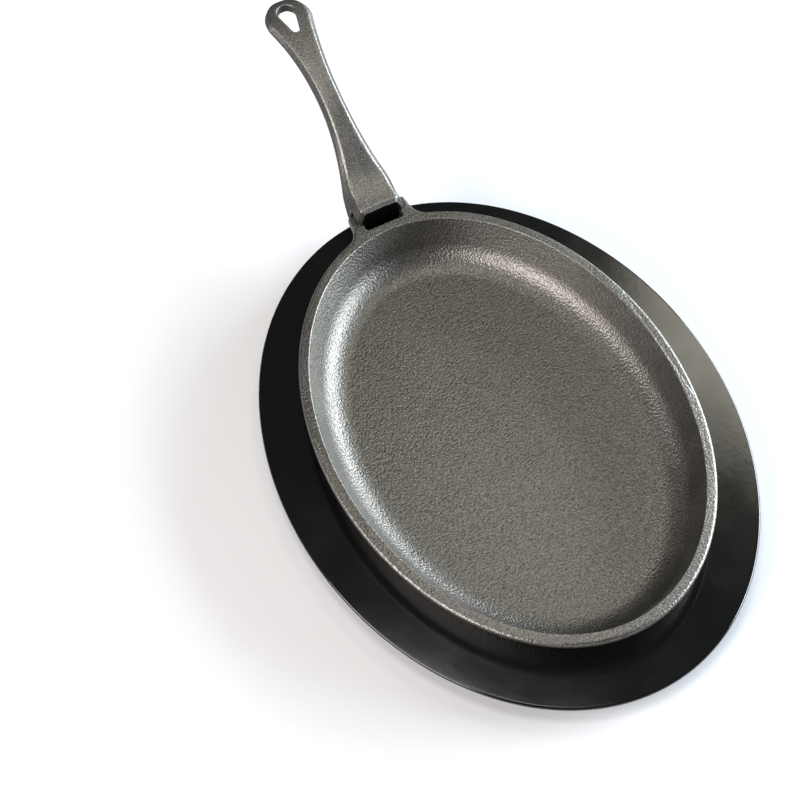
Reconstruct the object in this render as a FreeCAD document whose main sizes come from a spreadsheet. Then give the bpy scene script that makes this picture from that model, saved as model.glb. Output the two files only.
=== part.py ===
import FreeCAD, Part
import math
import os

import Sketcher

# Oval cast iron skillet on a moulded underliner tray, with a hook-on grip handle.
# Millimetres, +Z up, origin at the middle of the tray's resting face, handle towards -X.

SIZES = (
    ("pan_length", 292, "rim of the pan along X"),
    ("pan_width", 204, "rim of the pan along Y"),
    ("pan_height", 32, "underside of the pan to the top of its rim"),
    ("pan_floor", 4.5, "thickness of the pan's floor"),
    ("rim_width", 6, "flat top of the rim"),
    ("rim_overhang", 2, "rim flange beyond the wall below it"),
    ("rim_thickness", 4.5, "rim flange and tab"),
    ("rim_round", 0.9, "rounding of the rim's edges"),
    ("wall_slope", 70, "angle of the pan's wall above the floor"),
    ("bowl_radius", 18, "inner curve from floor to wall"),
    ("foot_radius", 22, "outer curve from underside to wall"),
    ("tab_reach", 13.5, "tab beyond the end of the rim"),
    ("tab_end_width", 36, "outer end of the tab"),
    ("tab_root_width", 41, "tab where it meets the rim"),
    ("tab_carry", 12, "tab carried in under the rim"),
    ("tab_corner", 2, "outer corners of the tab"),
    ("tab_flare", 12, "hollow corners between tab and rim"),
    ("slot_length", 11.2, "slot in the tab along X"),
    ("slot_width", 24, "slot in the tab along Y"),
    ("slot_corner", 2.2, "corners of the slot"),
    ("slot_inset", 0.5, "slot inside the end of the rim's oval"),
    ("slot_showing", 4.1, "slot left open ahead of the nose"),
    ("tray_length", 342, "underliner along X"),
    ("tray_width", 254, "underliner along Y"),
    ("tray_height", 12, "table to the top of the underliner's rim"),
    ("tray_plate", 3, "thickness of the underliner"),
    ("tray_round", 1.3, "rounding of the underliner's outer edge"),
    ("well_gap", 1.5, "clearance round the pan in the well"),
    ("well_radius", 5, "inner curve from the well's floor to its wall"),
    ("seat_gap", 0.3, "clearance between the grip and the top of the tab"),
    ("heel_gap", 0.8, "clearance between the skirt and the end of the tab"),
    ("nose_height", 10.8, "top of the grip's nose above the tab"),
    ("nose_width", 28.6, "grip at its nose"),
    ("skirt_flare", 2.2, "skirt beyond the nose on each side"),
    ("cheek_radius", 30, "rounding in plan behind the widest place"),
    ("nose_corner", 3, "upright corners of the nose"),
    ("skirt_drop", 8, "skirt below the top of the tab"),
    ("mouth_rise", 3.8, "notch above the tab"),
    ("mouth_depth", 3.4, "notch behind the tab"),
    ("hook_thickness", 3, "tongue of the grip, and its lip"),
    ("hook_lip", 6.2, "lip ahead of the tongue"),
    ("hook_play", 0.8, "clearance of the tongue and lip"),
    ("grip_reach", 134, "nose to the tip of the grip along X"),
    ("grip_rise", 46.2, "nose to the top of the tip along Z"),
    ("bend_back", 33, "nose to the steepest place along X"),
    ("bend_up", 12.5, "nose to the steepest place along Z"),
    ("bend_radius", 54, "hollow curve behind the nose"),
    ("underside_radius", 168, "underside of the grip"),
    ("tip_thickness", 5.3, "grip at its tip"),
    ("neck_back", 66, "nose to the narrowest place along X"),
    ("neck_width", 14.6, "narrowest place of the grip"),
    ("tip_width", 28.8, "rounded end of the grip"),
    ("eye_wide", 11, "wide end of the hanging hole"),
    ("eye_narrow", 5, "narrow end of the hanging hole"),
    ("eye_length", 21.5, "hanging hole overall"),
    ("eye_margin", 5.6, "hanging hole to the tip"),
    ("grip_round", 2.4, "rounding along the grip's upper edges"),
    ("grip_edge", 1.2, "rounding along the grip's lower edges and in its eye"),
)

PLACES = (
    ("rim_end", "-sizes.pan_length / 2"),
    ("tab_end", "rim_end - sizes.tab_reach"),
    ("tab_root", "rim_end + sizes.tab_carry"),
    ("tab_end_half", "sizes.tab_end_width / 2"),
    ("tab_root_half", "sizes.tab_root_width / 2"),
    ("pan_level", "sizes.tray_plate"),
    ("rim_level", "pan_level + sizes.pan_height"),
    ("slot_front", "rim_end + sizes.slot_inset"),
    ("slot_back", "slot_front - sizes.slot_length"),
    ("slot_half", "sizes.slot_width / 2"),
    ("nose_front", "slot_front - sizes.slot_showing"),
    ("tongue_back", "nose_front - sizes.hook_thickness"),
    ("nose_top", "sizes.nose_height"),
    ("heel", "tab_end - sizes.heel_gap"),
    ("mouth_back", "tab_end - sizes.mouth_depth"),
    ("mouth_top", "sizes.mouth_rise"),
    ("seat", "sizes.seat_gap"),
    ("skirt_low", "-sizes.skirt_drop"),
    ("bend_radius", "sizes.bend_radius"),
    ("back_radius", "sizes.underside_radius"),
    ("bend_chord", "sqrt(sizes.bend_back ^ 2 + sizes.bend_up ^ 2)"),
    ("bend_angle", "atan(sizes.bend_up / sizes.bend_back) + asin(bend_chord / 2 / bend_radius)"),
    ("top_run", "sizes.grip_reach - sizes.bend_back"),
    ("top_rise", "sizes.grip_rise - sizes.bend_up"),
    ("top_chord", "sqrt(top_run ^ 2 + top_rise ^ 2)"),
    ("top_radius", "top_chord / 2 / sin(bend_angle - atan(top_rise / top_run))"),
    ("bend_x", "nose_front - sizes.bend_back"),
    ("bend_z", "nose_top + sizes.bend_up"),
    ("tip_x", "nose_front - sizes.grip_reach"),
    ("tip_top", "nose_top + sizes.grip_rise"),
    ("tip_low", "tip_top - sizes.tip_thickness"),
    ("lip_low", "-sizes.rim_thickness - sizes.hook_play - sizes.hook_thickness"),
    ("lip_top", "-sizes.rim_thickness - sizes.hook_play"),
    ("lip_front", "nose_front + sizes.hook_lip"),
    ("nose_half", "sizes.nose_width / 2"),
    ("skirt_half", "nose_half + sizes.skirt_flare"),
    ("neck_x", "nose_front - sizes.neck_back"),
    ("neck_half", "sizes.neck_width / 2"),
    ("tip_half", "sizes.tip_width / 2"),
    ("front_run", "mouth_back - neck_x"),
    ("front_drop", "skirt_half - neck_half"),
    ("front_sum", "(front_run ^ 2 + front_drop ^ 2) / 2 / front_drop"),
    ("cheek_radius", "sizes.cheek_radius"),
    ("front_waist", "front_sum - cheek_radius"),
    ("cheek_x", "mouth_back - front_run * cheek_radius / front_sum"),
    ("cheek_half", "skirt_half - front_drop * cheek_radius / front_sum"),
    ("nose_run", "nose_front - mouth_back"),
    ("nose_drop", "skirt_half - nose_half"),
    ("nose_side", "(nose_run ^ 2 + nose_drop ^ 2) / 2 / nose_drop"),
    ("rear_run", "neck_x - tip_x - tip_half"),
    ("rear_waist", "(rear_run ^ 2 + neck_half ^ 2 - tip_half ^ 2) / 2 / (tip_half - neck_half)"),
    ("shoulder_lean", "rear_run / (rear_waist + tip_half)"),
    ("shoulder_x", "tip_x + tip_half * (1 + shoulder_lean)"),
    ("shoulder_half", "tip_half * sqrt(1 - shoulder_lean ^ 2)"),
    ("trim_half", "skirt_half - nose_side + sqrt(nose_side ^ 2 - (lip_front - mouth_back) ^ 2)"),
    ("frame_front", "lip_front + skirt_half"),
    ("frame_back", "tip_x - skirt_half"),
    ("frame_half", "2 * skirt_half"),
    ("eye_wide_half", "sizes.eye_wide / 2"),
    ("eye_narrow_half", "sizes.eye_narrow / 2"),
    ("eye_end", "tip_x + sizes.eye_margin"),
    ("eye_wide_x", "eye_end + eye_wide_half"),
    ("eye_narrow_x", "eye_end + sizes.eye_length - eye_narrow_half"),
    ("eye_lean", "(eye_wide_half - eye_narrow_half) / (eye_narrow_x - eye_wide_x)"),
    ("eye_rear_x", "eye_wide_x + eye_wide_half * eye_lean"),
    ("eye_rear_half", "eye_wide_half * sqrt(1 - eye_lean ^ 2)"),
    ("eye_front_x", "eye_narrow_x + eye_narrow_half * eye_lean"),
    ("eye_front_half", "eye_narrow_half * sqrt(1 - eye_lean ^ 2)"),
)

WALL_STEPS = 5          # sections along each curved wall
TOUCH = 0.1             # two places this near count as one
FACING = 0.5            # an upper or lower face has at least this much of its normal along Z

Vector = FreeCAD.Vector
doc = FreeCAD.newDocument("skillet")


def fill_sheets():
    sizes = doc.addObject("Spreadsheet::Sheet", "sizes")
    for row, (alias, value, note) in enumerate(SIZES, start=1):
        sizes.set(f"A{row}", note)
        sizes.set(f"B{row}", str(value))
        sizes.setAlias(f"B{row}", alias)
    places = doc.addObject("Spreadsheet::Sheet", "places")
    for row, (alias, formula) in enumerate(PLACES, start=1):
        places.set(f"A{row}", alias.replace("_", " "))
        places.set(f"B{row}", "=" + formula)
        places.setAlias(f"B{row}", alias)
    doc.recompute()
    return sizes, places


sizes, places = fill_sheets()


def new_body(name):
    body = doc.addObject("PartDesign::Body", name)
    body.Label = name
    return body


def new_sketch(body, name, role, level=None):
    sketch = body.newObject("Sketcher::SketchObject", name)
    origin_plane = [item for item in body.Origin.OriginFeatures if item.Role == role][0]
    sketch.AttachmentSupport = [(origin_plane, "")]
    sketch.MapMode = "FlatFace"
    if level:
        sketch.setExpression("AttachmentOffset.Base.z", level)
    return sketch


def bind(sketch, constraint, name, formula):
    index = sketch.addConstraint(constraint)
    sketch.renameConstraint(index, name)
    sketch.setExpression(f"Constraints.{name}", formula)


def oval_sketch(body, name, length, width, level):
    """An oval about the origin, its axes along X and Y."""
    sketch = new_sketch(body, name, "XY_Plane", level)
    half_length = sizes.get("pan_length") / 2
    half_width = sizes.get("pan_width") / 2
    oval = Part.Ellipse(Vector(half_length, 0, 0), Vector(0, half_width, 0), Vector(0, 0, 0))
    ring = sketch.addGeometry(oval)
    sketch.exposeInternalGeometry(ring)
    sketch.addConstraint(Sketcher.Constraint("Coincident", ring, 3, -1, 1))
    sketch.addConstraint(Sketcher.Constraint("PointOnObject", ring + 1, 1, -1))
    bind(sketch, Sketcher.Constraint("Distance", ring + 1, 2 * half_length), "length", length)
    bind(sketch, Sketcher.Constraint("Distance", ring + 2, 2 * half_width), "width", width)
    return sketch


def run_of_wall(depth, radius):
    """Plan width of a wall that curves up from a floor and goes on straight."""
    slope = "sizes.wall_slope"
    curve = f"{radius} * sin({slope})"
    straight = f"(({depth}) - {radius} * (1 - cos({slope}))) / tan({slope})"
    return f"({curve} + {straight})"


def dish(body, kind, name, length, width, bottom, depth, radius):
    """A dish-shaped solid, added or cut: its top oval, and sections down its curved wall."""
    run = run_of_wall(depth, radius)
    sections = [oval_sketch(body, f"{name}_top", length, width, f"{bottom} + {depth}")]
    for step in range(WALL_STEPS, -1, -1):
        angle = f"(sizes.wall_slope * {step} / {WALL_STEPS})"
        inset = f"2 * ({run} - {radius} * sin({angle}))"
        level = f"{bottom} + {radius} * (1 - cos({angle}))"
        section = oval_sketch(body, f"{name}_{step}", f"{length} - {inset}", f"{width} - {inset}", level)
        sections.append(section)
    loft = body.newObject(kind, name)
    loft.Profile = sections[0]
    loft.Sections = sections[1:]
    doc.recompute()
    return loft


def pad(body, name, sketch, length, midplane=False):
    feature = body.newObject("PartDesign::Pad", name)
    feature.Profile = sketch
    feature.Midplane = midplane
    feature.setExpression("Length", length)
    doc.recompute()
    return feature


def cut_through(body, name, sketch):
    before = body.Shape.Volume
    feature = body.newObject("PartDesign::Pocket", name)
    feature.Profile = sketch
    feature.Type = "ThroughAll"
    feature.Midplane = True
    doc.recompute()
    if not feature.Shape.Volume < before - TOUCH:
        raise RuntimeError(f"{name} cuts nothing")
    return feature


def round_edges(body, name, radius, wanted):
    base = body.Tip
    edges = [f"Edge{i}" for i, edge in enumerate(base.Shape.Edges, start=1) if wanted(edge)]
    if not edges:
        raise RuntimeError(f"{name} finds no edge")
    feature = body.newObject("PartDesign::Fillet", name)
    feature.Base = (base, edges)
    feature.setExpression("Radius", radius)
    doc.recompute()
    if "Invalid" in feature.State or feature.Shape.isNull() or not feature.Shape.isValid():
        raise RuntimeError(f"{name} fails")
    return feature


def arc_between(start, end, radius):
    """The arc that turns left from start to end, or right where the radius is negative."""
    chord = end.sub(start)
    half = chord.Length / 2
    left = Vector(-chord.y, chord.x, 0).normalize()
    reach = math.sqrt(radius * radius - half * half)
    middle = start.add(end).multiply(0.5)
    centre = middle.add(left.multiply(math.copysign(reach, radius)))
    first, last = (start, end) if radius > 0 else (end, start)
    turn = [math.atan2(p.y - centre.y, p.x - centre.x) for p in (first, last)]
    return Part.ArcOfCircle(Part.Circle(centre, Vector(0, 0, 1), abs(radius)), turn[0], turn[1])


def amount(name):
    """The number behind a place's name, which may carry a minus sign."""
    if name == "0":
        return 0.0
    return -places.get(name[1:]) if name.startswith("-") else places.get(name)


def pin(sketch, line, end, axis, name):
    """Fixes one coordinate of a corner to a named place."""
    value = amount(name)
    if name == "0":
        sketch.addConstraint(Sketcher.Constraint("PointOnObject", line, end, -2 if axis == "X" else -1))
        return
    formula = "places." + name.lstrip("-")
    order = (-1, 1, line, end) if value > 0 else (line, end, -1, 1)
    if (value < 0) != name.startswith("-"):
        formula = "-" + formula
    label = f"{axis.lower()}_{line}"
    bind(sketch, Sketcher.Constraint(f"Distance{axis}", *order, abs(value)), label, formula)


def outline(sketch, corners):
    """A closed outline: each corner is two named places, and the radius of the arc to the next."""
    points = [Vector(amount(x), amount(y), 0) for x, y, _ in corners]
    ends = []
    for i, (_, _, radius) in enumerate(corners):
        start, end = points[i], points[(i + 1) % len(points)]
        if radius is None:
            ends.append((sketch.addGeometry(Part.LineSegment(start, end)), 1, 2))
            continue
        sign = -1 if radius.startswith("-") else 1
        arc = arc_between(start, end, sign * places.get(radius.lstrip("-")))
        ends.append((sketch.addGeometry(arc), *((1, 2) if sign > 0 else (2, 1))))
    for i, (line, first, _) in enumerate(ends):
        before = ends[i - 1]
        sketch.addConstraint(Sketcher.Constraint("Coincident", before[0], before[2], line, first))
        pin(sketch, line, first, "X", corners[i][0])
        pin(sketch, line, first, "Y", corners[i][1])
        radius = corners[i][2]
        if radius:
            name = radius.lstrip("-")
            limit = Sketcher.Constraint("Radius", line, places.get(name))
            bind(sketch, limit, f"radius_{line}", f"places.{name}")


def upright(edge):
    box = edge.BoundBox
    return box.ZLength > TOUCH and max(box.XLength, box.YLength) < TOUCH


def is_one_of(edge, others):
    return any(edge.isSame(other) for other in others)


def middle_normal(face):
    u_first, u_last, v_first, v_last = face.ParameterRange
    return face.normalAt((u_first + u_last) / 2, (v_first + v_last) / 2)


def border_of(faces):
    """Edges round a group of faces, without those between two of them."""
    edges = [edge for face in faces for edge in face.Edges]
    return [edge for edge in edges if sum(edge.isSame(other) for other in edges) == 1]


def flat_at(edge, level):
    box = edge.BoundBox
    return abs(box.ZMax - level) < TOUCH and box.ZLength < TOUCH


def make_pan():
    body = new_body("skillet_pan")
    level = "places.pan_level"
    top = places.get("rim_level")
    wall_length = "sizes.pan_length - 2 * sizes.rim_overhang"
    wall_width = "sizes.pan_width - 2 * sizes.rim_overhang"
    dish(body, "PartDesign::AdditiveLoft", "wall", wall_length, wall_width, level,
         "sizes.pan_height", "sizes.foot_radius")
    flange_level = "places.rim_level - sizes.rim_thickness"
    flange = oval_sketch(body, "flange_oval", "sizes.pan_length", "sizes.pan_width", flange_level)
    pad(body, "flange", flange, "sizes.rim_thickness")
    tab = new_sketch(body, "tab_outline", "XY_Plane", flange_level)
    outline(tab, (
        ("tab_end", "tab_end_half", None),
        ("tab_end", "-tab_end_half", None),
        ("tab_root", "-tab_root_half", None),
        ("tab_root", "tab_root_half", None),
    ))
    pad(body, "tab", tab, "sizes.rim_thickness")
    end = places.get("tab_end")
    rim_end = places.get("rim_end")
    tab_root = places.get("tab_root")
    round_edges(body, "tab_corners", "sizes.tab_corner",
                lambda edge: upright(edge) and edge.BoundBox.XMax < end + TOUCH)
    round_edges(body, "tab_flares", "sizes.tab_flare",
                lambda edge: upright(edge) and rim_end < edge.BoundBox.XMax < tab_root)
    slot = new_sketch(body, "slot_outline", "XY_Plane", flange_level)
    outline(slot, (
        ("slot_back", "slot_half", None),
        ("slot_back", "-slot_half", None),
        ("slot_front", "-slot_half", None),
        ("slot_front", "slot_half", None),
    ))
    cut_through(body, "slot", slot)
    dish(body, "PartDesign::SubtractiveLoft", "bowl",
         "sizes.pan_length - 2 * sizes.rim_width", "sizes.pan_width - 2 * sizes.rim_width",
         f"{level} + sizes.pan_floor", "sizes.pan_height - sizes.pan_floor", "sizes.bowl_radius")
    slot_back = places.get("slot_back")
    slot_front = places.get("slot_front")
    round_edges(body, "slot_corners", "sizes.slot_corner",
                lambda edge: upright(edge) and slot_back - TOUCH < edge.BoundBox.XMax < slot_front + TOUCH)
    tab_width = sizes.get("tab_root_width")
    round_edges(body, "rim_edges", "sizes.rim_round",
                lambda edge: flat_at(edge, top) and edge.Length > tab_width)
    return body


def make_tray():
    body = new_body("underliner")
    seat_depth = "(sizes.tray_height - sizes.tray_plate)"
    foot_run = run_of_wall("sizes.pan_height", "sizes.foot_radius")
    below = f"(sizes.foot_radius - {seat_depth})"
    reach = f"sqrt(sizes.foot_radius ^ 2 - {below} ^ 2)"
    inset = f"2 * (sizes.rim_overhang + {foot_run} - {reach} - sizes.well_gap)"
    well_length = f"sizes.pan_length - {inset}"
    well_width = f"sizes.pan_width - {inset}"
    shell = "2 * sizes.tray_plate"
    dish(body, "PartDesign::AdditiveLoft", "well_shell", f"{well_length} + {shell}", f"{well_width} + {shell}",
         "0", "sizes.tray_height", "(sizes.well_radius + sizes.tray_plate)")
    rim = oval_sketch(body, "rim_oval", "sizes.tray_length", "sizes.tray_width",
                      "sizes.tray_height - sizes.tray_plate")
    pad(body, "rim_plate", rim, "sizes.tray_plate")
    dish(body, "PartDesign::SubtractiveLoft", "well", well_length, well_width,
         "sizes.tray_plate", seat_depth, "sizes.well_radius")
    outer = sizes.get("tray_length") / 2
    round_edges(body, "rim_edge", "sizes.tray_round",
                lambda edge: edge.BoundBox.ZLength < TOUCH and edge.BoundBox.XMax > outer - TOUCH)
    return body


def make_grip():
    """The grip is drawn from the top of the tab, where its nose stands."""
    body = new_body("grip_handle")
    body.setExpression("Placement.Base.z", "places.rim_level")
    side = new_sketch(body, "side_view", "XZ_Plane")
    outline(side, (
        ("nose_front", "nose_top", "-bend_radius"),
        ("bend_x", "bend_z", "top_radius"),
        ("tip_x", "tip_top", None),
        ("tip_x", "tip_low", "-back_radius"),
        ("heel", "skirt_low", None),
        ("heel", "seat", None),
        ("mouth_back", "mouth_top", None),
        ("tongue_back", "seat", None),
        ("nose_front", "seat", None),
    ))
    pad(body, "side", side, "2 * places.skirt_half", True)
    plan = new_sketch(body, "plan_view", "XY_Plane")
    outline(plan, (
        ("lip_front", "trim_half", "nose_side"),
        ("mouth_back", "skirt_half", "cheek_radius"),
        ("cheek_x", "cheek_half", "-front_waist"),
        ("neck_x", "neck_half", "-rear_waist"),
        ("shoulder_x", "shoulder_half", "tip_half"),
        ("tip_x", "0", "tip_half"),
        ("shoulder_x", "-shoulder_half", "-rear_waist"),
        ("neck_x", "-neck_half", "-front_waist"),
        ("cheek_x", "-cheek_half", "cheek_radius"),
        ("mouth_back", "-skirt_half", "nose_side"),
        ("lip_front", "-trim_half", None),
    ))
    outline(plan, (
        ("frame_front", "frame_half", None),
        ("frame_back", "frame_half", None),
        ("frame_back", "-frame_half", None),
        ("frame_front", "-frame_half", None),
    ))
    cut_through(body, "plan_trim", plan)
    eye = new_sketch(body, "eye_outline", "XY_Plane")
    outline(eye, (
        ("eye_front_x", "eye_front_half", None),
        ("eye_rear_x", "eye_rear_half", "eye_wide_half"),
        ("eye_end", "0", "eye_wide_half"),
        ("eye_rear_x", "-eye_rear_half", None),
        ("eye_front_x", "-eye_front_half", "eye_narrow_half"),
    ))
    cut_through(body, "eye", eye)
    nose_front = places.get("nose_front")
    round_edges(body, "nose_corners", "sizes.nose_corner",
                lambda edge: upright(edge) and abs(edge.BoundBox.XMax - nose_front) < TOUCH)
    eye_front = places.get("eye_end") + sizes.get("eye_length")
    eye_half = sizes.get("eye_wide") / 2

    def round_eye(edge):
        box = edge.BoundBox
        return box.XMax < eye_front + TOUCH and max(-box.YMin, box.YMax) < eye_half + TOUCH

    nose_top = places.get("nose_top")
    faces = body.Tip.Shape.Faces
    upper = border_of([face for face in faces
                       if middle_normal(face).z > FACING and face.BoundBox.ZMax > nose_top])
    round_edges(body, "upper_edges", "sizes.grip_round",
                lambda edge: is_one_of(edge, upper) and not round_eye(edge))
    heel = places.get("heel")
    neck = places.get("neck_x")
    faces = body.Tip.Shape.Faces
    lower = border_of([face for face in faces
                       if middle_normal(face).z < -FACING and face.BoundBox.XMin < neck])
    round_edges(body, "lower_edges", "sizes.grip_edge",
                lambda edge: is_one_of(edge, lower) and edge.BoundBox.XMax < heel - TOUCH)
    tongue = new_sketch(body, "tongue_outline", "XZ_Plane")
    outline(tongue, (
        ("nose_front", "mouth_top", None),
        ("tongue_back", "mouth_top", None),
        ("tongue_back", "lip_low", None),
        ("lip_front", "lip_low", None),
        ("lip_front", "lip_top", None),
        ("nose_front", "lip_top", None),
    ))
    pad(body, "tongue", tongue, "sizes.slot_width - 2 * sizes.hook_play", True)
    return body


def check(bodies):
    broken = [item.Label for item in doc.Objects if {"Invalid", "Error"} & set(item.State)]
    broken += [body.Label for body in bodies if body.Shape.isNull() or not body.Shape.isValid()]
    if broken:
        raise RuntimeError("failed: " + ", ".join(broken))


bodies = (make_pan(), make_tray(), make_grip())
doc.recompute()
check(bodies)
os.makedirs("parts", exist_ok=True)
for body in bodies:
    body.Shape.exportStep(f"parts/{body.Label}.step")
    print(body.Label, round(body.Shape.Volume), len(body.Shape.Solids))
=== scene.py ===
import math

import bmesh
import bpy
from mathutils import Matrix, Vector
from mathutils.geometry import tessellate_polygon


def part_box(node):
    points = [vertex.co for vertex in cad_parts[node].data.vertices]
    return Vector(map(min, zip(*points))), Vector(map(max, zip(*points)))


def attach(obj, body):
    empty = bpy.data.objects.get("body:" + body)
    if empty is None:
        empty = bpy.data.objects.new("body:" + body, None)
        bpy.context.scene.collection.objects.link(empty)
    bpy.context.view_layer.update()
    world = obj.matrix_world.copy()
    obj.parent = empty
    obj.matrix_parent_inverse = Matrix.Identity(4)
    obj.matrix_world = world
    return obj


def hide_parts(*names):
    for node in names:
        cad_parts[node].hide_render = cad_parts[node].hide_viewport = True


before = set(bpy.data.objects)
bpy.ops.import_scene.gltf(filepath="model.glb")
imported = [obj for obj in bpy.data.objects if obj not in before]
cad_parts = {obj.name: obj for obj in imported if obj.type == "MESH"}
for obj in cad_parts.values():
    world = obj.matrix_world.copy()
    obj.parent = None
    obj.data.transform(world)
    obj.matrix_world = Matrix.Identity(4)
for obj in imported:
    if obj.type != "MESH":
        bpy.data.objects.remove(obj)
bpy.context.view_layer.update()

mm = 0.001
quarter = math.pi / 2
panLow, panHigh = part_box("skillet_pan")
trayLow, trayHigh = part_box("underliner")
gripLow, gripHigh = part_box("grip_handle")
rimTop = panHigh.z

view = {
    "azimuth": -21.6,            # degrees from +X, seen from above
    "elevation": 57.7,
    "roll": -5.28,
    "distance": 1.0,
    "lens": 82.6,
    "near": 0.01,
    "aim": (-0.0323, -0.0459),   # from the middle of the pan, at the height of its rim
}


# the direction at an azimuth and elevation in degrees
def towards(azimuth, elevation):
    azimuth, elevation = math.radians(azimuth), math.radians(elevation)
    return Vector((math.cos(elevation) * math.cos(azimuth), math.cos(elevation) * math.sin(azimuth),
                   math.sin(elevation)))


def placeCamera():
    azimuth, roll = math.radians(view["azimuth"]), math.radians(view["roll"])
    back = towards(view["azimuth"], view["elevation"])
    right = Vector((-math.sin(azimuth), math.cos(azimuth), 0))
    up = back.cross(right)
    side = right * math.cos(roll) + up * math.sin(roll)
    above = up * math.cos(roll) - right * math.sin(roll)
    data = bpy.data.cameras.new("viewCamera")
    data.lens = view["lens"]
    data.clip_start = view["near"]
    camera = bpy.data.objects.new("viewCamera", data)
    bpy.context.scene.collection.objects.link(camera)
    turn = Matrix((side, above, back)).transposed().to_4x4()
    aim = Vector((*view["aim"], rimTop))
    camera.matrix_world = Matrix.Translation(aim + back * view["distance"]) @ turn
    bpy.context.scene.camera = camera


placeCamera()
print("camera placed")


def ovalLoop(halfLength, halfWidth, level, count):
    turn = 2 * math.pi / count
    return [Vector((halfLength * math.cos(i * turn), halfWidth * math.sin(i * turn), level))
            for i in range(count)]


def arcLoop(centre, radius, start, end, steps):
    points = []
    for i in range(steps + 1):
        angle = start + (end - start) * i / steps
        points.append(Vector((centre.x + radius * math.cos(angle), centre.y + radius * math.sin(angle), 0)))
    return points


# every point of an anticlockwise loop moved inwards, at a new level
def insetLoop(loop, amount, level):
    moved = []
    for i, point in enumerate(loop):
        along = loop[(i + 1) % len(loop)] - loop[i - 1]
        inward = Vector((-along.y, along.x, 0)).normalized()
        moved.append(Vector((point.x + inward.x * amount, point.y + inward.y * amount, level)))
    return moved


# loops that turn from a flat top down into an upright edge
def roundOver(loop, radius, top, steps):
    turns = [quarter * i / steps for i in range(steps + 1)]
    return [insetLoop(loop, radius * (1 - math.sin(t)), top - radius * (1 - math.cos(t))) for t in turns]


# loops that turn from an upright edge in under a flat underside
def roundUnder(loop, radius, bottom, steps):
    turns = [quarter * i / steps for i in range(steps + 1)]
    return [insetLoop(loop, radius * (1 - math.cos(t)), bottom + radius * (1 - math.sin(t))) for t in turns]


def clamp(value):
    return min(1.0, max(0.0, value))


def easeIn(share):
    return share * share * (3 - 2 * share)


def bridge(bm, first, second):
    count = len(first)
    for i in range(count):
        j = (i + 1) % count
        bm.faces.new((first[i], first[j], second[j], second[i]))


# joins a run of loops and gives back all their rings of vertices
def strip(bm, loops):
    rings = [[bm.verts.new(point) for point in loop] for loop in loops]
    for first, second in zip(rings, rings[1:]):
        bridge(bm, first, second)
    return rings


# fills a flat area inside the first ring and outside the others
def fillFlat(bm, rings):
    flat = [[Vector((v.co.x, v.co.y, 0)) for v in ring] for ring in rings]
    verts = [v for ring in rings for v in ring]
    for corners in tessellate_polygon(flat):
        bm.faces.new([verts[i] for i in corners])


def finishPiece(bm, name, wornAndPaintedLight=()):
    wearAndPaintedLight = bm.verts.layers.float.get("wearAndPaintedLight")
    for rings, amount in wornAndPaintedLight:
        for vert in [v for ring in rings for v in ring]:
            vert[wearAndPaintedLight] = amount
    bmesh.ops.recalc_face_normals(bm, faces=bm.faces)
    data = bpy.data.meshes.new(name)
    bm.to_mesh(data)
    bm.free()
    shadeSmooth(data)
    piece = bpy.data.objects.new(name, data)
    bpy.context.scene.collection.objects.link(piece)
    return piece


def shadeSmooth(data):
    for polygon in data.polygons:
        polygon.use_smooth = True


# a closed prism between two copies of an outline
def prism(name, ends):
    bm = bmesh.new()
    first, second = [[bm.verts.new(point) for point in end] for end in ends]
    bm.faces.new(first)
    bm.faces.new(list(reversed(second)))
    bridge(bm, first, second)
    return finishPiece(bm, name)


def applyModifiers(piece):
    graph = bpy.context.evaluated_depsgraph_get()
    data = bpy.data.meshes.new_from_object(piece.evaluated_get(graph))
    old = piece.data
    piece.modifiers.clear()
    piece.data = data
    bpy.data.meshes.remove(old)


def weightNormals(piece):
    modifier = piece.modifiers.new("normals", "WEIGHTED_NORMAL")
    modifier.keep_sharp = True
    modifier.weight = 100        # large faces keep their own direction


pan = {
    "rimWidth": 6 * mm,
    "rimThickness": 4.5 * mm,
    "rimFall": 0.5 * mm,          # how far the rim's top falls outwards, away from the tab
    "fallStart": -135 * mm,       # where along X that starts, and where it is in full
    "fallEnd": -105 * mm,
    "overhang": 2 * mm,
    "outerRound": 1.9 * mm,
    "underRound": 0.8 * mm,
    "innerRound": 0.7 * mm,
    "floor": 4.5 * mm,
    "slope": math.radians(70),
    "bowlRadius": 18 * mm,
    "footRadius": 22 * mm,
    "tabEndHalf": 18 * mm,
    "tabLean": math.radians(5.6),
    "tabCorner": 2 * mm,
    "flareRadius": 12 * mm,
    "slotFront": 0.5 * mm,        # inside the end of the oval
    "slotLength": 11.2 * mm,
    "slotHalf": 12 * mm,
    "slotCorner": 2.2 * mm,
    "slotRound": 0.8 * mm,
    "floorRings": (0.8, 0.55, 0.3),
    # paler rubbed edges of the rim, the lip and the slot: partly wear, partly painted highlight
    "wearAndPaintedLight": {"edge": 0.1, "slot": 0.2, "lip": 0.15},
    "around": 288,
    "steps": {"foot": 12, "bowl": 16, "edge": 6, "under": 3, "lip": 5, "flare": 12, "corner": 6, "slot": 4},
    "halvings": 60,
}
panHalfLength = panHigh.x
panHalfWidth = panHigh.y


# how far a dished wall reaches outwards from its floor
def wallRun(depth, radius):
    slope = pan["slope"]
    return radius * math.sin(slope) + (depth - radius * (1 - math.cos(slope))) / math.tan(slope)


# loops up the curve at the foot of a wall whose top is the oval a, b; the rest of the wall is straight
def wallLoops(a, b, depth, radius, base, steps, count):
    loops = []
    for i in range(steps + 1):
        angle = pan["slope"] * i / steps
        inset = wallRun(depth, radius) - radius * math.sin(angle)
        loops.append(ovalLoop(a - inset, b - inset, base + radius * (1 - math.cos(angle)), count))
    return loops


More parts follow.
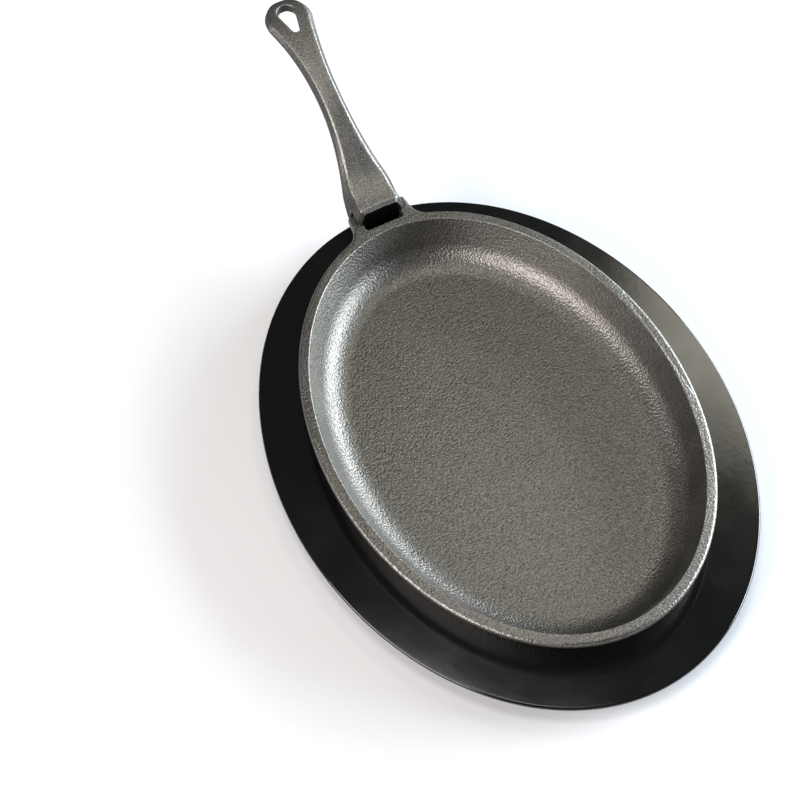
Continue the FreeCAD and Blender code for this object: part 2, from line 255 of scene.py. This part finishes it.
# loops over the rounded edge from a flat top down to such a wall
def lipLoops(a, b, radius, top, steps, count):
    setBack = radius * math.tan(pan["slope"] / 2)
    loops = []
    for i in range(steps + 1):
        angle = pan["slope"] * i / steps
        grow = setBack - radius * math.sin(angle)
        loops.append(ovalLoop(a + grow, b + grow, top - radius * (1 - math.cos(angle)), count))
    return loops


# outline of the rim with its tab, anticlockwise, starting at the +X end
def tabOutline(a, b):
    end, lean, steps = panLow.x, pan["tabLean"], pan["steps"]
    across = Vector((-math.sin(lean), math.cos(lean)))        # square to the tab's side
    corner = Vector((end, pan["tabEndHalf"]))
    radius = pan["flareRadius"]

    # the flare's circle where it touches the oval at t, and its gap to the tab's side
    def flareAt(t):
        touch = Vector((a * math.cos(t), b * math.sin(t)))
        centre = touch + Vector((math.cos(t) / a, math.sin(t) / b)).normalized() * radius
        return touch, centre, (centre - corner).dot(across) - radius

    low, high = quarter, math.pi
    for _ in range(pan["halvings"]):
        middle = (low + high) / 2
        if flareAt(middle)[2] > 0:
            low = middle
        else:
            high = middle
    touch, centre, _ = flareAt(low)
    count = round(pan["around"] / 2 * low / math.pi)
    half = [Vector((a * math.cos(low * i / count), b * math.sin(low * i / count), 0)) for i in range(count)]
    start = math.atan2(touch.y - centre.y, touch.x - centre.x)
    finish = math.atan2(-across.y, -across.x)
    half += arcLoop(centre, radius, start, finish, steps["flare"])
    cornerRadius = pan["tabCorner"]        # its centre is one radius in from the end and from the side
    cornerY = corner.y + cornerRadius * math.tan(lean) - cornerRadius / math.cos(lean)
    cornerCentre = Vector((end + cornerRadius, cornerY))
    half += arcLoop(cornerCentre, cornerRadius, quarter + lean, math.pi, steps["corner"])
    return half + [Vector((point.x, -point.y, 0)) for point in reversed(half[1:])]


# a rounded oblong, clockwise so that insetLoop widens it
def slotOutline():
    radius = pan["slotCorner"]
    front = -panHalfLength + pan["slotFront"]
    back = front - pan["slotLength"] + radius
    front -= radius
    side = pan["slotHalf"] - radius
    points = []
    for i, (x, y) in enumerate(((front, side), (front, -side), (back, -side), (back, side))):
        start = quarter * (1 - i)
        points += arcLoop(Vector((x, y)), radius, start, start - quarter, pan["steps"]["corner"])
    return points


# lowers the rim's outer edge: not at all up to fallStart, and in full from fallEnd on
def fallOutwards(loop):
    fallen = []
    for point in loop:
        share = clamp((point.x - pan["fallStart"]) / (pan["fallEnd"] - pan["fallStart"]))
        fallen.append(Vector((point.x, point.y, point.z - pan["rimFall"] * easeIn(share))))
    return fallen


def makePan():
    bm = bmesh.new()
    bm.verts.layers.float.new("wearAndPaintedLight")        # has to be there before the first vertex
    a, b, count, steps = panHalfLength, panHalfWidth, pan["around"], pan["steps"]
    top, bottom = rimTop, panLow.z
    under = top - pan["rimThickness"]
    outline = tabOutline(a, b)

    # outside: underside, foot curve and wall up to the flange
    wallA, wallB = a - pan["overhang"], b - pan["overhang"]
    loops = wallLoops(wallA, wallB, top - bottom, pan["footRadius"], bottom, steps["foot"], count)
    inset = pan["rimThickness"] / math.tan(pan["slope"])
    outside = strip(bm, loops + [ovalLoop(wallA - inset, wallB - inset, under, count)])
    fillFlat(bm, [outside[0]])

    # flange and tab: top edge, upright side, lower edge
    edge = [fallOutwards(loop) for loop in roundOver(outline, pan["outerRound"], top, steps["edge"])]
    flange = strip(bm, edge + roundUnder(outline, pan["underRound"], under, steps["under"]))

    # slot through the tab
    slot = slotOutline()
    mouth = roundOver(slot, pan["slotRound"], top, steps["slot"])
    hole = strip(bm, mouth + roundUnder(slot, pan["slotRound"], under, steps["under"]))

    # bowl: inner edge, wall, curve and floor
    innerA, innerB = a - pan["rimWidth"], b - pan["rimWidth"]
    level = bottom + pan["floor"]
    lip = lipLoops(innerA, innerB, pan["innerRound"], top, steps["lip"], count)
    bowl = wallLoops(innerA, innerB, top - level, pan["bowlRadius"], level, steps["bowl"], count)[::-1]
    floorA, floorB = bowl[-1][0].x, bowl[-1][count // 4].y
    flats = [ovalLoop(floorA * k, floorB * k, level, count) for k in pan["floorRings"]]
    inside = strip(bm, lip + bowl + flats)
    fillFlat(bm, [inside[-1]])

    fillFlat(bm, [flange[0], hole[0], inside[0]])
    fillFlat(bm, [flange[-1], hole[-1], outside[-1]])
    wearAndPaintedLight = pan["wearAndPaintedLight"]
    wornAndPaintedLight = ((flange[2:5], wearAndPaintedLight["edge"]), (inside[2:5], wearAndPaintedLight["lip"]), (hole[1:4], wearAndPaintedLight["slot"]))
    piece = finishPiece(bm, "castPan", wornAndPaintedLight)
    weightNormals(piece)
    return piece


castPan = makePan()
print("pan made")

liner = {
    "plate": 3 * mm,
    "edgeRound": 1.3 * mm,
    "wellGap": 1.5 * mm,
    "wellRadius": 5 * mm,
    "lipRound": 1.2 * mm,
    "flatRings": (0.25, 0.5, 0.75),
    "around": 256,
    "steps": {"wall": 6, "edge": 5},
}


def makeLiner():
    bm = bmesh.new()
    top, plate, count, steps = trayHigh.z, liner["plate"], liner["around"], liner["steps"]
    depth = top - plate        # of the well, and the height of the rim's underside

    # the well clears the pan's outer wall at the level of the tray's top
    foot = pan["footRadius"]
    reach = math.sqrt(foot ** 2 - (foot - depth) ** 2)
    inset = pan["overhang"] + wallRun(panHigh.z - panLow.z, foot) - reach - liner["wellGap"]
    a, b = panHalfLength - inset, panHalfWidth - inset
    well = wallLoops(a, b, depth, liner["wellRadius"], plate, steps["wall"], count)
    lip = lipLoops(a, b, liner["lipRound"], top, steps["edge"], count)[::-1]

    # flat rim, its outer edge, and the outside of the well
    outer = ovalLoop(trayHigh.x, trayHigh.y, top, count)
    flat = [[p.lerp(q, k) for p, q in zip(lip[-1], outer)] for k in liner["flatRings"]]
    edge = roundOver(outer, liner["edgeRound"], top, steps["edge"])
    edge += roundUnder(outer, liner["edgeRound"], depth, steps["edge"])
    grow = plate - plate / math.tan(pan["slope"])
    under = ovalLoop(a + grow, b + grow, depth, count)
    shell = wallLoops(a + plate, b + plate, top, liner["wellRadius"] + plate, 0, steps["wall"], count)
    rings = strip(bm, well + lip + flat + edge + [under] + shell[::-1])
    fillFlat(bm, [rings[0]])
    fillFlat(bm, [rings[-1]])
    piece = finishPiece(bm, "linerTray")
    weightNormals(piece)
    return piece


linerTray = makeLiner()
print("underliner made")

grip = {
    "noseBack": 6.2 * mm,        # the nose's front face, behind the hook's lip
    "skirtDrop": 8 * mm,         # below the top of the tab
    "seat": 0.3 * mm,
    "mouthBack": 13.3 * mm,      # from the nose's front face
    "mouthRise": 3.8 * mm,
    "heelBack": 10.7 * mm,
    "heelSpare": 1 * mm,         # the skirt's full depth goes on this far behind the heel
    "hook": 3 * mm,
    "hookHalf": 11.2 * mm,
    "root": {"back": 0.4 * mm, "frontRise": 1 * mm, "rise": 3 * mm},     # of the tongue, inside the nose
    "crown": 0.25 * mm,          # how far the middle of the top stands above its edges
    "crownHalf": 7 * mm,         # parts narrower than this are crowned less
    "topRound": 6 * mm,
    "ridgeRound": 1.0 * mm,
    "footRound": 1.2 * mm,
    "footShare": 0.3,            # of the thickness, at most
    "cut": {"past": 20 * mm, "below": 30 * mm, "half": 40 * mm},     # how far the cutting shapes go
    "voxel": 0.45 * mm,
    "soften": (0.5, 5),          # factor and rounds
    "wearAndHighlightTurn": 0.18,            # radians between neighbouring faces that count as a worn edge, paled for wear and as painted highlight
    "wearAndHighlightSpread": 4,
    "sideShade": 0.65,                # how far the sides are darkened, as painted shade
    "sideShadeStart": (0.95, 0.75),   # how level a face is where that starts, on the +Y side and the -Y side
    "sideShadeSpan": 0.4,
    # how far behind the nose's front the painted shade reaches
    "paintedShadeDepth": 0.3 * mm,
    "stations": 90,
    "crowding": 1.6,             # brings the stations closer together towards the tip
    "startGap": 0.05 * mm,       # the first and last stations lie this far inside the ends
    "endGap": 0.2 * mm,
    "eye": {"margin": 5.6 * mm, "length": 21.5 * mm, "wide": 5.5 * mm, "narrow": 2.5 * mm},
    "eyeSteps": (24, 12),
    "cornerSteps": 5,
    "cornerShare": 0.45,         # of the shorter side, so that neighbouring curves never meet
    # how far back; shares of the half width: flat top, ridge, foot; ridge height as a share of the
    # thickness; edge rounding
    "shape": (
        (0.00, 0.78, 0.975, 1.14, 0.64, 2.5 * mm),
        (0.09, 0.68, 0.865, 1.00, 0.60, 2.6 * mm),
        (0.28, 0.62, 0.90, 1.00, 0.52, 2.4 * mm),
        (0.52, 0.66, 0.98, 0.97, 0.48, 1.9 * mm),
        (0.78, 0.78, 1.00, 0.95, 0.50, 1.6 * mm),
        (1.00, 0.86, 1.00, 0.93, 0.50, 1.4 * mm),
    ),
}
noseX = gripHigh.x - grip["noseBack"]


# x, top, underside and half width of the grip's solid at planes along X
def sliceGrip(count):
    base = bmesh.new()
    base.from_mesh(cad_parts["grip_handle"].data)
    first, last = noseX - grip["startGap"], gripLow.x + grip["endGap"]
    slices = []
    for i in range(count):
        x = first + (last - first) * (1 - (1 - i / (count - 1)) ** grip["crowding"])
        cut = base.copy()
        result = bmesh.ops.bisect_plane(cut, geom=cut.verts[:] + cut.edges[:] + cut.faces[:],
                                        plane_co=(x, 0, 0), plane_no=(1, 0, 0))
        points = [g.co for g in result["geom_cut"] if isinstance(g, bmesh.types.BMVert)]
        slices.append((x, max(p.z for p in points), min(p.z for p in points), max(p.y for p in points)))
        cut.free()
    base.free()
    return slices


def shapeAt(share):
    rows = grip["shape"]
    for first, second in zip(rows, rows[1:]):
        if share <= second[0]:
            k = easeIn((share - first[0]) / (second[0] - first[0]))
            return [p + (q - p) * k for p, q in zip(first[1:], second[1:])]
    return rows[-1][1:]


# points round a closed polygon in (y, z), its corners turned into curves
def roundedSection(corners, radii):
    points, steps = [], grip["cornerSteps"]
    for i, corner in enumerate(corners):
        before = corners[i - 1] - corner
        after = corners[(i + 1) % len(corners)] - corner
        longest = min(before.length, after.length) * grip["cornerShare"]
        length = min(radii[i] / math.tan(before.angle(after) / 2), longest)
        start = corner + before.normalized() * length
        end = corner + after.normalized() * length
        for step in range(steps + 1):
            k = step / steps
            points.append(start.lerp(corner, k).lerp(corner.lerp(end, k), k))
    return points


# one ring of the handle, from a row of sliceGrip
def gripRing(x, high, low, half):
    back = noseX - x
    if back < grip["heelBack"] + grip["heelSpare"]:
        low = rimTop - grip["skirtDrop"]
    flat, ridge, foot, ridgeHeight, edge = shapeAt(back / (noseX - gripLow.x))
    thick = high - low
    shoulder = high - grip["crown"] * min(1, half / grip["crownHalf"])
    right = [Vector((flat * half, shoulder)), Vector((ridge * half, low + thick * ridgeHeight)),
             Vector((foot * half, low))]
    left = [Vector((-p.x, p.y)) for p in reversed(right)]
    radii = [edge, grip["ridgeRound"], min(grip["footRound"], thick * grip["footShare"])]
    radii = [grip["topRound"]] + radii + radii[::-1]
    return [Vector((x, p.x, p.y)) for p in roundedSection([Vector((0, high))] + right + left, radii)]


# a closed prism across the handle from an outline in (x, z)
def wedge(name, outline, halfWidth):
    return prism(name, [[(x, y, z) for x, z in outline] for y in (-halfWidth, halfWidth)])


# the hanging hole: two unequal circles and their tangents, cut straight down
def makeEye():
    eye, (rearSteps, frontSteps) = grip["eye"], grip["eyeSteps"]
    rear = gripLow.x + eye["margin"] + eye["wide"]
    front = gripLow.x + eye["margin"] + eye["length"] - eye["narrow"]
    lean = math.acos((eye["wide"] - eye["narrow"]) / (front - rear))
    points = arcLoop(Vector((rear, 0)), eye["wide"], lean, 2 * math.pi - lean, rearSteps)
    points += arcLoop(Vector((front, 0)), eye["narrow"], -lean, lean, frontSteps)
    levels = (rimTop, gripHigh.z + grip["cut"]["past"])
    return prism("eyeTool", [[(p.x, p.y, level) for p in points] for level in levels])


def cutAway(piece, tool):
    modifier = piece.modifiers.new("cut", "BOOLEAN")
    modifier.operation = "DIFFERENCE"
    modifier.solver = "EXACT"
    modifier.object = tool
    applyModifiers(piece)
    bpy.data.objects.remove(tool)


def joinInto(piece, other):
    bm = bmesh.new()
    bm.from_mesh(piece.data)
    bm.from_mesh(other.data)
    bmesh.ops.recalc_face_normals(bm, faces=bm.faces)
    bm.to_mesh(piece.data)
    bm.free()
    bpy.data.objects.remove(other)


# writes how worn each point is, from how sharply the faces turn outwards there, edges paled for wear and as
# painted highlight; below 0 is painted shade on the sides and the nose's front
def noteEdges(piece):
    bm = bmesh.new()
    bm.from_mesh(piece.data)
    turns = [sum(e.calc_face_angle_signed(0) for e in v.link_edges) / len(v.link_edges) for v in bm.verts]
    bm.verts.index_update()
    near = [[e.other_vert(v).index for e in v.link_edges] for v in bm.verts]
    bm.free()
    for _ in range(grip["wearAndHighlightSpread"]):
        turns = [(turn + sum(turns[i] for i in around)) / (1 + len(around))
                 for turn, around in zip(turns, near)]
    wornAndPaintedLight = [clamp(turn / grip["wearAndHighlightTurn"]) for turn in turns]
    for i, vert in enumerate(piece.data.vertices):
        start = grip["sideShadeStart"][0 if vert.normal.y > 0 else 1]        # the +Y side gets more painted shade, which dims the highlight on its edge
        # faces that turn away from the top get painted shade
        side = clamp((start - vert.normal.z) / grip["sideShadeSpan"])
        wornAndPaintedLight[i] = wornAndPaintedLight[i] * (1 - side) - grip["sideShade"] * side
        if vert.co.x > noseX - grip["paintedShadeDepth"]:
            wornAndPaintedLight[i] = -1.0        # painted shade on the front face and hook
    layer = piece.data.attributes.new("wearAndPaintedLight", "FLOAT", "POINT")
    layer.data.foreach_set("value", wornAndPaintedLight)


def makeGrip():
    bm = bmesh.new()
    rings = strip(bm, [gripRing(*row) for row in sliceGrip(grip["stations"])])
    bm.faces.new(rings[0])
    bm.faces.new(list(reversed(rings[-1])))
    piece = finishPiece(bm, "castGrip")

    # the mouth clears the tab, and the skirt hangs behind it
    seat = rimTop + grip["seat"]
    heelX, hookX = noseX - grip["heelBack"], noseX - grip["hook"]
    ahead, below = noseX + grip["cut"]["past"], rimTop - grip["cut"]["below"]
    mouth = ((ahead, below), (ahead, seat), (hookX, seat),
             (noseX - grip["mouthBack"], rimTop + grip["mouthRise"]), (heelX, seat), (heelX, below))
    cutAway(piece, wedge("mouthTool", mouth, grip["cut"]["half"]))
    cutAway(piece, makeEye())

    # the tongue goes down through the slot and its lip forward under the tab
    root, bottom = grip["root"], gripLow.z
    lipTop = bottom + grip["hook"]
    hook = ((noseX - root["back"], seat + root["rise"]), (hookX, seat + root["rise"]), (hookX, bottom),
            (gripHigh.x, bottom), (gripHigh.x, lipTop), (noseX, lipTop), (noseX, seat + root["frontRise"]))
    joinInto(piece, wedge("hook", hook, grip["hookHalf"]))

    # one cast surface, with its edges softened
    remesh = piece.modifiers.new("cast", "REMESH")
    remesh.mode = "VOXEL"
    remesh.voxel_size = grip["voxel"]
    applyModifiers(piece)
    smooth = piece.modifiers.new("soften", "SMOOTH")
    smooth.factor, smooth.iterations = grip["soften"]
    applyModifiers(piece)
    shadeSmooth(piece.data)
    noteEdges(piece)
    return piece


castGrip = makeGrip()
print("grip made")


def newMaterial(name):
    material = bpy.data.materials.new(name)
    material.use_nodes = True
    tree = material.node_tree
    tree.nodes.clear()
    shader = tree.nodes.new("ShaderNodeBsdfPrincipled")
    output = tree.nodes.new("ShaderNodeOutputMaterial")
    tree.links.new(shader.outputs["BSDF"], output.inputs["Surface"])
    place = tree.nodes.new("ShaderNodeTexCoord")
    return material, tree, shader, place.outputs["Object"]


# sets a socket to a constant, or links it to another node's value
def feed(tree, socket, value):
    if isinstance(value, (float, tuple)):
        socket.default_value = value
    else:
        tree.links.new(value, socket)


def noiseNode(tree, place, scale, detail, rough):
    node = tree.nodes.new("ShaderNodeTexNoise")
    node.inputs["Scale"].default_value = scale
    node.inputs["Detail"].default_value = detail
    node.inputs["Roughness"].default_value = rough
    tree.links.new(place, node.inputs["Vector"])
    return node.outputs["Fac"]


def lumpNode(tree, place, scale, smoothness):
    node = tree.nodes.new("ShaderNodeTexVoronoi")
    node.feature = "SMOOTH_F1"
    node.inputs["Scale"].default_value = scale
    node.inputs["Smoothness"].default_value = smoothness
    tree.links.new(place, node.inputs["Vector"])
    return node.outputs["Distance"]


def rangeNode(tree, value, low, high, fromLow=0.0, fromHigh=1.0):
    node = tree.nodes.new("ShaderNodeMapRange")
    node.inputs["From Min"].default_value = fromLow
    node.inputs["From Max"].default_value = fromHigh
    node.inputs["To Min"].default_value = low
    node.inputs["To Max"].default_value = high
    tree.links.new(value, node.inputs["Value"])
    return node.outputs["Result"]


def mathNode(tree, operation, first, second):
    node = tree.nodes.new("ShaderNodeMath")
    node.operation = operation
    feed(tree, node.inputs[0], first)
    feed(tree, node.inputs[1], second)
    return node.outputs[0]


def mixColour(tree, factor, first, second):
    node = tree.nodes.new("ShaderNodeMix")
    node.data_type = "RGBA"
    tree.links.new(factor, node.inputs["Factor"])
    feed(tree, node.inputs[6], first)        # 6 and 7 are the colours going in, 2 the one coming out
    feed(tree, node.inputs[7], second)
    return node.outputs[2]


def bumpNode(tree, height, distance, normal=None):
    node = tree.nodes.new("ShaderNodeBump")
    node.inputs["Distance"].default_value = distance
    node.inputs["Strength"].default_value = 1.0
    tree.links.new(height, node.inputs["Height"])
    if normal:
        tree.links.new(normal, node.inputs["Normal"])
    return node.outputs["Normal"]


iron = {
    "dark": (0.056, 0.053, 0.046, 1),
    "light": (0.240, 0.229, 0.207, 1),
    # paler rubbed edges, partly wear and partly painted highlight
    "wornEdgeAndHighlight": (0.30, 0.30, 0.30, 1),
    # painted shade, for the nose's front face and hook and the grip's sides
    "paintedShade": (0.006, 0.006, 0.006, 1),
    "metallic": 1.0,
    "roughness": (0.41, 0.50, 0.3, 0.7),       # low and high, over this part of the mottle
    "pebbles": (820, 0.5),                     # to the metre, smoothness
    "pebbleDepth": 0.25 * mm,
    "gripDepth": 0.12 * mm,                    # the grip is rubbed smoother
    "fine": (1250, 2.0, 0.6),                  # to the metre, detail, roughness
    "fineDepth": 0.09 * mm,
    "mottle": (38, 4.0, 0.6),
    "speckle": (0.32, 0.68),                   # the part of the fine grain that shows as tone
    "shares": {"pebbles": 0.25, "speckle": 0.75, "mottle": 0.12},
    "patches": (0.3, 0.8, 0.3, 0.65),          # how pale worn edges are, as wear and painted highlight, over this part of the fine grain
}


def castIronFinish(name, depth):
    material, tree, shader, place = newMaterial(name)
    pebbles = rangeNode(tree, lumpNode(tree, place, *iron["pebbles"]), 1.0, 0.0)
    fine = noiseNode(tree, place, *iron["fine"])
    mottle = noiseNode(tree, place, *iron["mottle"])
    speckle = rangeNode(tree, fine, 0.0, 1.0, *iron["speckle"])
    shares = iron["shares"]
    tone = mathNode(tree, "ADD", mathNode(tree, "MULTIPLY", pebbles, shares["pebbles"]),
                    mathNode(tree, "MULTIPLY", speckle, shares["speckle"]))
    tone = mathNode(tree, "ADD", tone, mathNode(tree, "MULTIPLY", mottle, shares["mottle"]))
    colour = mixColour(tree, tone, iron["dark"], iron["light"])

    # rubbed edges are paler in patches, partly wear and partly painted highlight, and the grip's sides and
    # nose front are darkened as painted shade
    wearAndPaintedLight = tree.nodes.new("ShaderNodeAttribute")
    wearAndPaintedLight.attribute_name = "wearAndPaintedLight"
    patchy = mathNode(tree, "MULTIPLY", wearAndPaintedLight.outputs["Fac"], rangeNode(tree, fine, *iron["patches"]))
    colour = mixColour(tree, patchy, colour, iron["wornEdgeAndHighlight"])
    paintedShadeMask = rangeNode(tree, wearAndPaintedLight.outputs["Fac"], 1.0, 0.0, -1.0, 0.0)
    colour = mixColour(tree, paintedShadeMask, colour, iron["paintedShade"])
    tree.links.new(colour, shader.inputs["Base Color"])
    shader.inputs["Metallic"].default_value = iron["metallic"]
    tree.links.new(rangeNode(tree, mottle, *iron["roughness"]), shader.inputs["Roughness"])
    coarse = bumpNode(tree, pebbles, depth)
    tree.links.new(bumpNode(tree, fine, iron["fineDepth"], coarse), shader.inputs["Normal"])
    return material


gloss = {
    "colour": (0.0020, 0.0022, 0.0023, 1),
    "roughness": (0.12, 0.19, 0.3, 0.7),       # low and high, over this part of the haze
    "haze": (30, 4.0, 0.6),                    # to the metre, detail, roughness
    "peel": (260, 2.0, 0.5),
    "peelDepth": 0.02 * mm,
}


def glossFinish(name):
    material, tree, shader, place = newMaterial(name)
    shader.inputs["Base Color"].default_value = gloss["colour"]
    peel = noiseNode(tree, place, *gloss["peel"])
    haze = noiseNode(tree, place, *gloss["haze"])
    tree.links.new(rangeNode(tree, haze, *gloss["roughness"]), shader.inputs["Roughness"])
    tree.links.new(bumpNode(tree, peel, gloss["peelDepth"]), shader.inputs["Normal"])
    return material


castPan.data.materials.append(castIronFinish("castIronPan", iron["pebbleDepth"]))
castGrip.data.materials.append(castIronFinish("castIronGrip", iron["gripDepth"]))
linerTray.data.materials.append(glossFinish("blackGloss"))
print("finishes made")

studio = {
    "sky": (0.95, 0.98, 1.0, 1),
    "skyStrength": 0.11,
    "floor": (0.66, 0.66, 0.66, 1),
    "floorRoughness": 0.8,
    "floorHalf": 6.0,
    "middle": (-0.03, 0, 0.02),        # what the lights point at
    "lights": (
        # name, azimuth, elevation, distance, size, watts, colour
        ("rightBox", 86, 14, 1.4, (1.7, 0.55), 92, (0.82, 0.91, 1.0)),
        ("leftBox", 280, 28, 1.5, (1.1, 0.5), 32, (1.0, 0.955, 0.965)),
        ("topBox", 200, 84, 1.6, (0.55, 0.55), 7, (1.0, 0.98, 0.94)),
        ("warmBox", 129, 52, 1.6, (0.40, 0.31), 2.5, (1.0, 0.96, 0.80)),
    ),
}


def makeFloor():
    half = studio["floorHalf"]
    corners = ((-half, -half), (half, -half), (half, half), (-half, half))
    bm = bmesh.new()
    bm.faces.new([bm.verts.new((x, y, trayLow.z)) for x, y in corners])
    floor = finishPiece(bm, "floor")
    material, _, shader, _ = newMaterial("paleFloor")
    shader.inputs["Base Color"].default_value = studio["floor"]
    shader.inputs["Roughness"].default_value = studio["floorRoughness"]
    floor.data.materials.append(material)


def makeWorld():
    world = bpy.data.worlds.new("studioWorld")
    world.use_nodes = True
    background = world.node_tree.nodes["Background"]
    background.inputs["Color"].default_value = studio["sky"]
    background.inputs["Strength"].default_value = studio["skyStrength"]
    bpy.context.scene.world = world
    bpy.context.scene.view_settings.view_transform = "Standard"


def makeLight(name, azimuth, elevation, distance, size, watts, colour):
    data = bpy.data.lights.new(name, "AREA")
    data.shape = "RECTANGLE"
    data.size, data.size_y = size
    data.energy = watts
    data.color = colour
    lamp = bpy.data.objects.new(name, data)
    bpy.context.scene.collection.objects.link(lamp)
    away = towards(azimuth, elevation)
    lamp.location = Vector(studio["middle"]) + away * distance
    lamp.rotation_euler = away.to_track_quat("Z", "Y").to_euler()


makeFloor()
makeWorld()
for row in studio["lights"]:
    makeLight(*row)
print("studio lit")

for piece, node, body, slot in (
    (castPan, "skillet_pan", "pan", "pan_iron"),
    (castGrip, "grip_handle", "grip", "grip_iron"),
    (linerTray, "underliner", "tray", "tray_gloss"),
):
    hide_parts(node)
    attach(piece, body)
